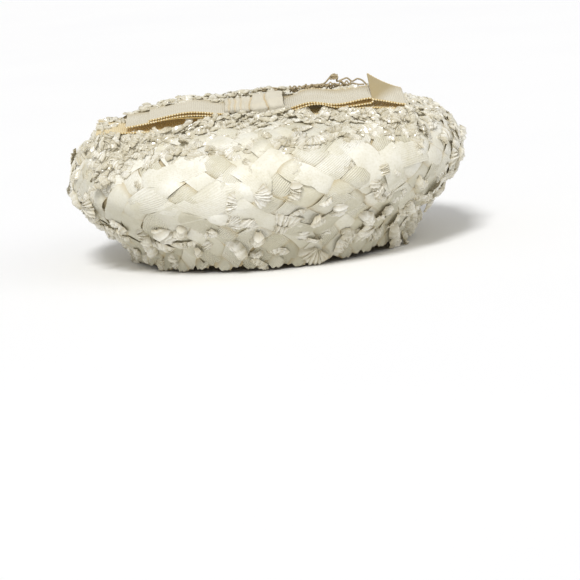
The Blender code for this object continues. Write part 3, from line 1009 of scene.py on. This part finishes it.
puffSpread = {
    "stand": {"low": 0.0005, "tall": 0.0009},
    "jitter": 0.26,
    # Each band of the side: its lowest share of the height, puffs for each mesh of the plait at the front
    # and elsewhere, smallest and largest size, and the share of tall ones at the front.
    "bands": (
        (0.84, 4.2, 3.8, 0.34, 0.66, 0.2),
        (0.7, 1.9, 2.6, 0.36, 0.8, 0.12),
        (0.55, 0.75, 1.9, 0.45, 0.95, 0.15),
        (0.34, 0.42, 1.4, 0.5, 1.1, 0.5),
        (0.14, 1.1, 1.3, 0.7, 1.3, 0.8),
        (0.02, 0.75, 0.9, 0.65, 1.2, 0.85),
    ),
    "lowestRow": 0.12,
    "tallAside": 0.35,
    "frontMiddle": -1.65,
    "frontReach": 0.8,
    "frontFade": 0.5,
    # Each row beside the bow: its place across in half widths of the ribbon, lift, start, end and number.
    "besideBow": {
        "rows": (
            (-1.16, 0.0014, -0.08, 0.08, 56),
            (-1.34, 0.001, -0.08, 0.084, 46),
            (-1.04, 0.0036, -0.062, -0.016, 26),
            (-1.06, 0.004, -0.02, 0.018, 20),
            (-1.02, 0.0018, -0.034, 0.026, 34),
            (-1.0, 0.0034, 0.034, 0.08, 30),
            (-0.98, 0.003, -0.092, -0.056, 26),
            (-0.85, 0.0062, -0.09, -0.07, 10),
            (1.04, 0.0058, -0.066, -0.014, 34),
            (1.16, 0.004, -0.09, 0.07, 60),
            (1.32, 0.0024, -0.088, 0.076, 46),
            (0.2, 0.004, 0.076, 0.09, 16),
            (-0.6, 0.0034, 0.078, 0.09, 14),
            (1.1, 0.0066, -0.014, 0.018, 22),
        ),
        "size": (0.35, 0.66, 0.4),  # smallest, largest and the share of tall ones
        "across": 0.06,
        "lifts": (0.6, 1.1),
        "reach": 0.97,
    },
    # Each row on a ribbon: its layer, then the same as beside the bow.
    "againstBow": {
        "rows": (
            ("leftTail", 0.8, -0.0004, -0.08, -0.066, 9),
            ("leftTail", 0.4, 0.0002, -0.08, -0.068, 8),
            ("leftTail", 0.0, 0.0002, -0.079, -0.07, 6),
            ("leftTail", -0.4, 0.0002, -0.079, -0.074, 3),
            ("leftTail", 1.02, -0.0016, -0.08, -0.056, 16),
            ("leftUnder", 0.9, 0.0004, -0.068, -0.05, 9),
            ("leftRoof", 0.96, 0.0004, -0.056, -0.014, 26),
            ("leftRoof", 0.6, 0.0003, -0.05, -0.032, 6),
            ("rightRoof", 1.02, -0.001, 0.015, 0.062, 20),
        ),
        "size": (0.35, 0.62, 0.4),
        "across": 0.1,
        "lift": 0.0003,
    },
    # Each heap under a ribbon's edge: its layer, start and end (along, and across in half widths), how far
    # it reaches out, where it faces, how far it drops, its rows and the puffs in each.
    "slopes": {
        "rows": (
            ("leftTail", (-0.08, -1.0), (-0.074, -1.03), (-0.003, -0.004), (-0.6, -0.6, 0.5), 0.022, 9, 5),
            ("leftTail", (-0.08, -1.03), (-0.036, -1.03), (0.0, -0.0065), (-0.3, -0.8, 0.6), 0.02, 7, 22),
            ("rightTail", (0.036, -1.03), (0.08, -1.03), (0.0, -0.0085), (0.3, -0.8, 0.6), 0.02, 7, 22),
            ("leftTail", (-0.0795, -1.0), (-0.0795, 1.0), (-0.004, 0.0), (-0.8, 0.0, 0.5), 0.02, 7, 15),
            ("leftTail", (-0.08, 1.02), (-0.046, 1.02), (0.0, 0.005), (-0.2, 0.7, 0.6), 0.012, 5, 15),
            ("rightTail", (0.0775, -1.0), (0.0775, 0.6), (0.004, 0.0), (0.8, 0.0, 0.5), 0.016, 6, 12),
        ),
        "size": (0.4, 0.75, 0.3),
        "below": 0.0022,
        "scatter": 0.0005,
        "reach": 1.045,
        "sunk": 0.001,
    },
    "tip": {"number": 2.9, "size": (0.4, 0.8, 0.25)},
    "seam": {"number": 140, "size": (0.55, 0.9, 0.3), "reach": (-0.012, 0.03)},
}


def spotOn(surface, i, j, small, large, tall):
    one, other = np.array([i]), np.array([j])
    normal = surfaceNormal(surface, one, other)[0]
    centre = surface(one, other)[0]
    heading = surface(one + 0.1, other)[0] - centre
    turned = Quaternion(Vector(normal), rng.uniform(0, math.pi)) @ Vector(heading)
    height = "tall" if rng.random() < tall else "low"
    position = centre + normal * puffSpread["stand"][height]
    return Vector(position), Vector(normal), rng.uniform(small, large), turned, height


def spotAt(position, facing, heading, small, large, tall):
    height = "tall" if rng.random() < tall else "low"
    return Vector(position), Vector(facing), rng.uniform(small, large), Vector(heading), height


def numberHere(average):
    return int(average) + (rng.random() < average % 1)


def jittered(place):
    return place + rng.normal(0, puffSpread["jitter"])


def sideSpots():
    for k in range(sidePlait["strips"]):
        for c in range(int(2 * topRow) + 1):
            share = (c + 0.5) / 2 / topRow
            band = next((row for row in puffSpread["bands"] if share > row[0]), None)
            if band is None:
                continue
            atFront, elsewhere, small, large, tall = band[1:]
            angle = math.pi * (2 * k + c + 1) / sidePlait["strips"]
            fromFront = abs((angle - puffSpread["frontMiddle"] + math.pi) % (2 * math.pi) - math.pi)
            aside = min(max((fromFront - puffSpread["frontReach"]) / puffSpread["frontFade"], 0), 1)
            tall = tall + puffSpread["tallAside"] * aside
            for _ in range(numberHere(atFront + (elsewhere - atFront) * aside)):
                i, j = jittered(k + 0.5), jittered(k + c + 1)
                if (j - i) / 2 >= puffSpread["lowestRow"]:
                    yield spotOn(sideSurface, i, j, small, large, tall)


def besideBowSpots():
    look = puffSpread["besideBow"]
    for across, lift, start, end, number in look["rows"]:
        for k in range(number):
            share = (k + rng.uniform(0.1, 0.9)) / number
            x = bow["centre"][0] + start + (end - start) * share
            y = bow["centre"][1] + (across + rng.normal(0, look["across"])) * bow["width"] / 2
            i, j = tipCell(x, y)
            spot = spotOn(tipSurface, i, j, *look["size"])
            spot[0].z += lift * rng.uniform(*look["lifts"])
            if tipReach(i, j) < look["reach"]:
                yield spot


def againstBowSpots():
    look = puffSpread["againstBow"]
    for layer, across, lift, start, end, number in look["rows"]:
        height = layerHeight(layer)
        for k in range(number):
            x = start + (end - start) * ((k + rng.uniform(0.0, 1.0)) / number)
            y = (across + rng.normal(0, look["across"])) * bow["width"] / 2
            position = toWorld(np.array([x, y, height(abs(x)) + lift + rng.normal(0, look["lift"])]))
            heading = (rng.normal(0, 1), rng.normal(0, 1), 0)
            yield spotAt(position, (0, -0.1, 1), heading, *look["size"])


# Where a ribbon's edge stands off the falling straw, puffs heap up under it.


def slopeSpots():
    look = puffSpread["slopes"]
    for layer, (startX, startAcross), (endX, endAcross), reach, facing, drop, rows, number in look["rows"]:
        height = layerHeight(layer)
        for line in range(rows):
            down = line / (rows - 1)
            for k in range(number):
                share = (k + rng.uniform(0.0, 1.0)) / number
                x = startX + (endX - startX) * share
                y = (startAcross + (endAcross - startAcross) * share) * bow["width"] / 2
                lift = -look["below"] - drop * down
                local = np.array([x + reach[0] * down, y + reach[1] * down, height(abs(x)) + lift])
                position = toWorld(local + rng.normal(0, look["scatter"], 3))
                spot = spotAt(position, facing, rng.normal(0, 1, 3), *look["size"])
                strawHeight = tipAt(*position[:2])[2]
                if reachAt(*position[:2]) < look["reach"] and position[2] > strawHeight - look["sunk"]:
                    yield spot


def seamSpots():
    look = puffSpread["seam"]
    for k in range(look["number"]):
        angle = 2 * math.pi * (k + rng.uniform(0, 1)) / look["number"]
        reach = tipPlait["seamReach"] + rng.uniform(*look["reach"])
        x, y = crown["bulge"][0] * reach * math.cos(angle), crown["bulge"][1] * reach * math.sin(angle)
        yield spotOn(tipSurface, *tipCell(x, y), *look["size"])


def tipSpots():
    look = puffSpread["tip"]
    for a in range(-tipLimit, tipLimit):
        for b in range(-tipLimit, tipLimit):
            for _ in range(numberHere(look["number"])):
                i, j = jittered(a + 0.5), jittered(b + 0.5)
                spot = spotOn(tipSurface, i, j, *look["size"])
                if tipReach(i, j) <= tipPlait["seamReach"] and not underBow(spot[0].x, spot[0].y):
                    yield spot


# Bow: the frame's ribbons with their folds, ribs and picot edges.


def bowOrigin():
    x, y = bow["centre"]
    return Vector((x, y, float(tipAt(x, y)[2]) + bow["pressedRelief"]))


bowFrame = Matrix.Translation(bowOrigin()) @ Matrix.Rotation(bow["tilt"], 4, "X")


def toWorld(local):
    return local @ np.array(bowFrame.to_3x3()).T + np.array(bowFrame.translation)


def strawUnderKnot():
    origin = bowOrigin()
    y = (bow["width"] / 2 + bow["knotOverhang"]) * np.linspace(-1, 1, 9)
    top = tipAt(np.full(9, origin.x), origin.y + y * math.cos(bow["tilt"]))[:, 2] + bow["pressedRelief"]
    return float(np.max((top - origin.z) / math.cos(bow["tilt"]) - y * math.tan(bow["tilt"])))


# A layer's height over the bow's own plane, eased between its rows.


def layerHeight(layer):
    places, heights = np.array(bow["layers"][layer]).T
    bed = strawUnderKnot() + bow["gap"] + bow["thickness"] / 2

    def height(x):
        k = int(np.clip(np.searchsorted(places, x) - 1, 0, len(places) - 2))
        share = np.clip((x - places[k]) / (places[k + 1] - places[k]), 0, 1)
        eased = share * share * (3 - 2 * share)
        return float(bed + heights[k] + (heights[k + 1] - heights[k]) * eased)

    return height


def foldRound(centreX, centreZ, radius, turns=10):
    angles = [-math.pi / 2 + math.pi * k / turns for k in range(1, turns)]
    return [(centreX + radius * math.cos(a), centreZ + radius * math.sin(a)) for a in angles]


def loopPath(side, reach, floor, roof):
    start = bow["knotHalfLength"] - bow["underKnot"]
    radius = (roof(reach) - floor(reach)) / 2
    places = np.linspace(start, reach - radius, 40)
    path = [(x, floor(x)) for x in places]
    path += foldRound(places[-1], (floor(reach) + roof(reach)) / 2, radius)
    path += [(x, roof(x)) for x in reversed(places)]
    return np.array([(side * x, z) for x, z in path])


def forkedPath(side, tailReach, reach, floor, roof):
    start = bow["knotHalfLength"] + bow["besideKnot"]
    radius = (roof(start) - floor(start)) / 2
    path = [(x, floor(x)) for x in np.linspace(tailReach, start, 40)]
    path += [(-x, z) for x, z in foldRound(-start, floor(start) + radius, radius)]
    path += [(x, roof(x)) for x in np.linspace(start, reach, 32)]
    return np.array([(side * x, z) for x, z in path])


def tailPath(floor):
    radius = bow["tailFold"] / 2
    flatEnd = bow["tailReach"] - radius
    path = [(x, floor(x)) for x in np.linspace(bow["knotHalfLength"] - bow["underKnot"], flatEnd, 40)]
    middle = floor(flatEnd) + radius
    path += foldRound(flatEnd, middle, radius, 12)
    for share in np.linspace(0, 1, 14):
        path.append((flatEnd - bow["flapLength"] * share, middle + radius + bow["flapRise"] * share**1.2))
    return np.array(path)


def evenPath(path, count):
    steps = np.linalg.norm(np.diff(path, axis=0), axis=1)
    lengths = np.concatenate([[0], np.cumsum(steps)])
    return between(np.linspace(0, lengths[-1], count), lengths, path), lengths[-1]


def onRibbon(path, share, across, y, ripple, cornerRise):
    x, z = between(share, np.linspace(0, 1, len(path)), path).T
    wave = ripple * np.sin(share * 17 + 1.3 * across) * (0.3 + 0.7 * np.abs(across))
    return np.stack([x, y, z + wave + cornerRise * share**6 * across], -1)


def makeRibbon(name, node, path, ripple=0.0, cornerRise=0.0, faceOut=True, coveredTo=0.0):
    path, length = evenPath(path, int(len(path) * 1.6))
    sheet, share, across = gridSheet(len(path) - 1, 14)
    y = across * (bow["width"] / 2 - bow["edgeInset"])
    setCoordinates(sheet.data, toWorld(onRibbon(path, share, across, y, ripple, cornerRise)))
    flap = np.clip((share * length - (length - bow["flapLength"])) / bow["flapLength"], 0, 1)
    # Painted shade: tan over the flap, growing towards its cut end, and towards the ribbon's rear edge.
    turned = np.clip(flap * (cornerRise > 0) * 2.4 + across - 0.35, 0, 1)
    setValues(sheet.data, edge=np.abs(across), turned=turned)
    scaleUv(sheet.data, length, bow["width"])
    sheet.data.materials.append(ribbonFace)
    sheet.data.materials.append(ribbonBack)
    if not faceOut:
        sheet.data.flip_normals()
    thicken(sheet, bow["thickness"], 0.0, 1)
    smooth(sheet, 50)
    sheet.name = name
    sheet.data.name = name
    place(sheet, [node], "ribbon")
    makePicotEdge(name + "Picot", node, path, length, ripple, cornerRise, coveredTo)


picot = {"pitch": 0.0014, "radius": 0.00046, "inset": 0.0004, "stretch": (0.85, 1.2)}


def makePicotEdge(name, node, path, length, ripple, cornerRise, coveredTo):
    deselect()
    bpy.ops.mesh.primitive_uv_sphere_add(segments=7, ring_count=4, radius=picot["radius"])
    bead = bpy.context.object
    count = int(length / picot["pitch"])
    share = (np.arange(count) + 0.5) / count
    copies = []
    for side in (-1, 1):
        edge = np.full(count, side * (bow["width"] / 2 - picot["inset"]))
        local = onRibbon(path, share, side, edge, ripple, cornerRise)
        covered = (share > 0.5) & (np.abs(local[:, 0]) < coveredTo)
        for spot in toWorld(local)[~covered]:
            stretch = Matrix.Diagonal(Vector((*rng.uniform(*picot["stretch"], 3), 1)))
            copies.append(copyOf(bead, Matrix.Translation(Vector(spot)) @ stretch))
    piece = joined(copies, name)
    bpy.data.objects.remove(bead, do_unlink=True)
    smooth(piece, 60)
    dress(piece, picotThread, [node], "ribbon")


def makeBow():
    layers = {name: layerHeight(name) for name in bow["layers"]}
    under = forkedPath(-1, bow["underTailReach"], bow["underReach"], layers["leftTail"], layers["leftUnder"])
    makeRibbon("lowerLoopLeft", "bow_underloop_left", under, 0.0002, faceOut=False, coveredTo=0.05)
    left = loopPath(-1, bow["leftReach"], layers["leftFloor"], layers["leftRoof"])
    makeRibbon("loopLeft", "bow_loop_left", left, 0.0002)
    right = loopPath(1, bow["rightReach"], layers["rightFloor"], layers["rightRoof"])
    makeRibbon("loopRight", "bow_loop_right", right, 0.0003, faceOut=False)
    tail = tailPath(layers["rightTail"])
    makeRibbon("tailRight", "bow_tail_right", tail, 0.0001, bow["flapCornerRise"], faceOut=False)


makeBow()


# Knot: a wrap of the same ribbon, gathered at its left and laid in flat pleats that overlap, with
# golden-brown painted shade along its fold lines and in the troughs of the gathers.

knot = {
    "halfHeight": 0.0031,
    "inset": 0.0004,
    "wall": 0.0006,
    "girth": 0.094,
    "squareness": 2.7,
    "folds": (-0.12, 0.42),
    "foldStep": 0.001,
    "creaseWidth": 0.035,
    "goldWidth": 0.022,
    "gathers": 5,
    "gatherHeight": 0.0006,
    "gatheredTo": -0.35,
    "waist": 0.1,
}


def makeKnot():
    sheet, share, across = gridSheet(84, 64)
    turn = share * 2 * math.pi
    power = knot["squareness"]
    squared = (np.abs(np.cos(turn)) ** power + np.abs(np.sin(turn)) ** power) ** (-1 / power)
    pleat = np.zeros_like(across)
    creaseShade = np.zeros_like(across)
    for k, fold in enumerate(knot["folds"]):
        past = across - (fold + 0.05 * np.sin(turn * 2 + k * 2))
        pleat += knot["foldStep"] * (np.clip(past * 9, 0, 1) - 0.6)
        pleat -= 0.9 * knot["foldStep"] * np.exp(-((past / knot["creaseWidth"]) ** 2))
        creaseShade = np.maximum(creaseShade, np.exp(-((past / knot["goldWidth"]) ** 2)))
    atLeft = 1 / (1 + np.exp((across - knot["gatheredTo"]) * 14))
    gather = np.sin(across * knot["gathers"] * 2 * math.pi + 0.5 * np.sin(turn * 3 + 1))
    pleat += knot["gatherHeight"] * atLeft * gather
    creaseShade = np.maximum(creaseShade, atLeft * np.clip(-gather * 1.3 - 0.6, 0, 1))
    pleat += 0.00012 * np.sin(across * 21 + turn * 2) + 0.00015 * np.sin(turn * 9 + across * 4)
    rounded = 1 - knot["waist"] * np.abs(across) ** 6 - 0.03 * atLeft
    depth = bow["width"] / 2 + bow["knotOverhang"] - knot["inset"]
    x = across * bow["knotHalfLength"] * (1 + 0.02 * np.sin(turn * 2 + 1) + 0.01 * np.sin(turn * 7))
    y = np.cos(turn) * squared * (depth * rounded + pleat)
    z = np.sin(turn) * squared * (knot["halfHeight"] * rounded + pleat)
    bed = strawUnderKnot() + bow["gap"]
    setCoordinates(sheet.data, toWorld(np.stack([x, y, z + bed + knot["halfHeight"]], -1)))
    # The edge colour laid along the fold lines and in the troughs of the gathers is painted shade.
    setValues(sheet.data, edge=ribbonLook["edgeFrom"] + 0.05 * creaseShade, turned=0.0)
    scaleUv(sheet.data, knot["girth"], bow["width"])
    only(sheet)
    bpy.ops.object.mode_set(mode="EDIT")
    bpy.ops.mesh.select_all(action="SELECT")
    bpy.ops.mesh.remove_doubles(threshold=0.00002)
    bpy.ops.mesh.normals_make_consistent(inside=False)
    bpy.ops.object.mode_set(mode="OBJECT")
    thicken(sheet, knot["wall"], -1.0)
    smooth(sheet, 50)
    sheet.name = "bowKnot"
    dress(sheet, ribbonFace, ["bow_knot"], "ribbon")


makeKnot()
print("bow made")


# Veil: a scrap of fine net caught behind the bow, in loops of thin cord. Each loop is a row of places
# as seen from the front: along the hat and up. A tangle has its place, half sizes and number of cords.

veil = {
    "radius": 0.00038,
    "loopRadius": 1.15,  # shares of that radius
    "tangleRadius": 0.85,
    "depth": -0.028,
    "samples": 200,
    "loops": (
        ((0.0308, 0.0863), (0.0346, 0.0875), (0.0374, 0.0904), (0.0397, 0.0918), (0.0416, 0.09),
         (0.0403, 0.0875), (0.0436, 0.0885), (0.0462, 0.0893), (0.0486, 0.0867), (0.0514, 0.0883),
         (0.0539, 0.0873), (0.0563, 0.0844)),
        ((0.0402, 0.0865), (0.0432, 0.0846), (0.0475, 0.0858), (0.0494, 0.083), (0.0477, 0.0816),
         (0.0514, 0.0823), (0.0537, 0.0842), (0.0565, 0.0813)),
        ((0.042, 0.088), (0.045, 0.0852), (0.0486, 0.0862), (0.052, 0.085), (0.055, 0.085)),
    ),
    "tangles": (
        ((0.0391, 0.0905), (0.0022, 0.001, 0.0016), 7),
        ((-0.0362, 0.0862), (0.0036, 0.0012, 0.0014), 9),
        ((0.0045, 0.0868), (0.007, 0.0014, 0.001), 9),
        ((0.0285, 0.0856), (0.0075, 0.0016, 0.0016), 12),
    ),
    "tangleDepth": 0.001,
    "netFrom": 0.016,
    "netTo": 0.048,
    "netRows": 4,
    "netCell": 0.0025,
    "netHeight": 0.0846,
    "netDepth": 0.0012,
    "netRise": 0.0007,
    "zigzag": 0.0011,
    "stray": {"loop": 0.0008, "x": 0.0005, "y": 0.0006, "z": 0.0004},
}


def makeCord(places, radius):
    places = np.asarray(places, float)
    samples = veil["samples"]
    sheet, share, across = gridSheet(len(places) * 4, 6)
    drawn = between(np.linspace(0, 1, samples), np.linspace(0, 1, len(places)), places)
    kernel = np.hanning(samples // len(places) + 3)
    padded = np.pad(drawn, ((len(kernel) // 2, len(kernel) // 2), (0, 0)), mode="edge")
    eased = np.stack([np.convolve(padded[:, k], kernel / kernel.sum(), "valid") for k in range(3)], -1)
    fine = np.linspace(0, 1, len(eased))
    behind, centre, ahead = (between(np.clip(share + step, 0, 1), fine, eased) for step in (-0.01, 0, 0.01))
    tangent = unit(ahead - behind)
    first = unit(np.cross(tangent, np.array([0.0, 1.0, 0.05])))
    second = np.cross(tangent, first)
    turn = (across * math.pi)[:, None]
    setCoordinates(sheet.data, centre + radius * (first * np.cos(turn) + second * np.sin(turn)))
    return sheet


def makeVeil():
    cords = []
    stray = veil["stray"]
    for loop in veil["loops"]:
        depths = veil["depth"] + rng.normal(0, stray["loop"], len(loop))
        places = [(x, y, z) for (x, z), y in zip(loop, depths)]
        cords.append(makeCord(places, veil["radius"] * veil["loopRadius"]))
    count = int((veil["netTo"] - veil["netFrom"]) / veil["netCell"] * 2)
    for row in range(veil["netRows"]):
        x = np.linspace(veil["netFrom"], veil["netTo"], count)
        side = np.where(np.arange(count) % 2 == 0, 1, -1) * (1 if row % 2 else -1)
        y = veil["depth"] + veil["netDepth"] - veil["netDepth"] * row + rng.normal(0, stray["y"], count)
        z = veil["netHeight"] + veil["netRise"] * row + veil["zigzag"] * side
        z = z + rng.normal(0, stray["z"], count)
        cords.append(makeCord(np.stack([x + rng.normal(0, stray["x"], count), y, z], -1), veil["radius"]))
    for (x, z), half, number in veil["tangles"]:
        centre = np.array((x, veil["depth"] - veil["tangleDepth"], z))
        for _ in range(number):
            knots = rng.uniform(-1, 1, (7, 3)) * half
            cords.append(makeCord(centre + knots, veil["radius"] * veil["tangleRadius"]))
    piece = joined(cords, "veilNet")
    smooth(piece, 60)
    dress(piece, veilThread, ["crown_tip"], "straw")


makeVeil()
print("veil made")

sidePuffs = list(sideSpots())
middleHeight = bow["pressedRelief"] + crown["bulgeHeight"]
# Each piece's mean tone is painted light and shade: darker on the top and beside the bow, which the light
# reaches less, paler low on the side.
makePuffs("upperPuffs", [spot for spot in sidePuffs if spot[0].z > middleHeight], ["crown_side"], 0.45)
makePuffs("lowerPuffs", [spot for spot in sidePuffs if spot[0].z <= middleHeight], ["crown_side"], 0.25)
makePuffs("tipPuffs", [*tipSpots(), *seamSpots()], ["crown_tip"], 0.65)
makePuffs("bowPuffs", [*besideBowSpots(), *againstBowSpots(), *slopeSpots()], ["crown_tip"], 0.65)
print("puffs made")


# Room: plain floor and soft light

room = {
    "floorSize": 12.0,
    "floorColours": ((0.98, 0.98, 0.98), (0.965, 0.965, 0.97)),
    "floorRoughness": 0.8,
    "skyLight": 0.46,
    "backdrop": 1.0,
    "sun": {"toward": (0.22, 0.95, -1.15), "power": 2.25, "softness": 16},
    "sideSun": {"toward": (-1.0, 0.5, -0.9), "power": 0.25, "softness": 40},
}


def addSun(name):
    deselect()
    bpy.ops.object.light_add(type="SUN", location=(0, -1, 2))
    lamp = bpy.context.object
    lamp.name = name
    lamp.data.energy = room[name]["power"]
    lamp.data.angle = math.radians(room[name]["softness"])
    lamp.rotation_euler = Vector(room[name]["toward"]).to_track_quat("-Z", "Y").to_euler()


def makeRoom():
    deselect()
    bpy.ops.mesh.primitive_plane_add(size=room["floorSize"])
    floor = bpy.context.object
    floor.name = "floor"
    made, shader, wire = newMaterial("floorPaint", {"Roughness": room["floorRoughness"]})
    plug(shader, "Base Color", noise(wire, 3.0).mapped(0.3, 0.7).mixed(*room["floorColours"]))
    floor.data.materials.append(made)
    world = bpy.data.worlds.new("studio")
    bpy.context.scene.world = world
    world.use_nodes = True
    wire = Wire(world.node_tree)
    white = {"Color": (1, 1, 1, 1)}
    lit = wire.node("ShaderNodeBackground", None, {**white, "Strength": room["skyLight"]})
    seen = wire.node("ShaderNodeBackground", None, {**white, "Strength": room["backdrop"]})
    direct = wire.node("ShaderNodeLightPath", None, None, "Is Camera Ray")
    mix = wire.node("ShaderNodeMixShader", None, {0: direct, 1: lit, 2: seen})
    wire.tree.links.new(mix.socket, wire.tree.nodes["World Output"].inputs[0])
    addSun("sun")
    addSun("sideSun")
    bpy.context.scene.view_settings.view_transform = "Standard"


makeRoom()
print("room made")
